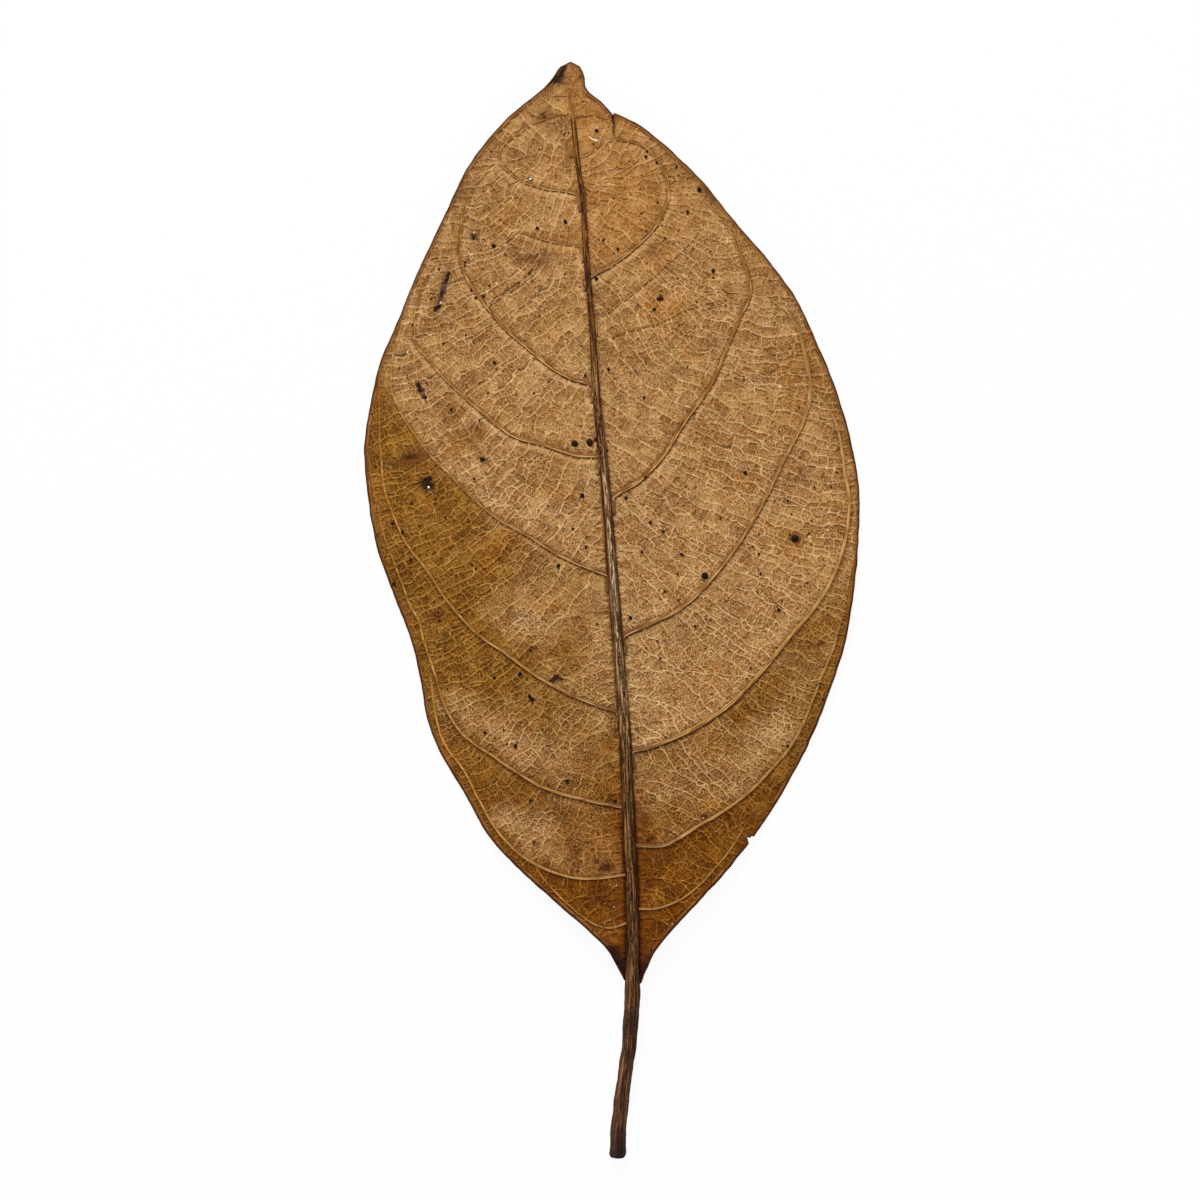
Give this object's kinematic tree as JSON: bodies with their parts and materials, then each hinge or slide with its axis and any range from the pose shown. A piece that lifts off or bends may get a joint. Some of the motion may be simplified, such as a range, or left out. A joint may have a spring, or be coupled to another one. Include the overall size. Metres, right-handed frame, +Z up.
{
  "type": "dried jackfruit leaf",
  "caption": "Dried oval jackfruit leaf lying underside up, with a raised midrib that runs on as the stalk and arching side veins.",
  "frame": {"origin": "middle of the leaf's box on the surface that it lies on", "axes": "+Y from the stalk's cut end towards the tip, +X to the right seen from above, +Z up out of the veined underside"},
  "size_m": [0.0794, 0.1756, 0.0061],
  "materials": {
    "dry_leaf": "matt"
  },
  "bodies": {
    "root": {"leaf": "dry_leaf"}
  },
  "joints": []
}
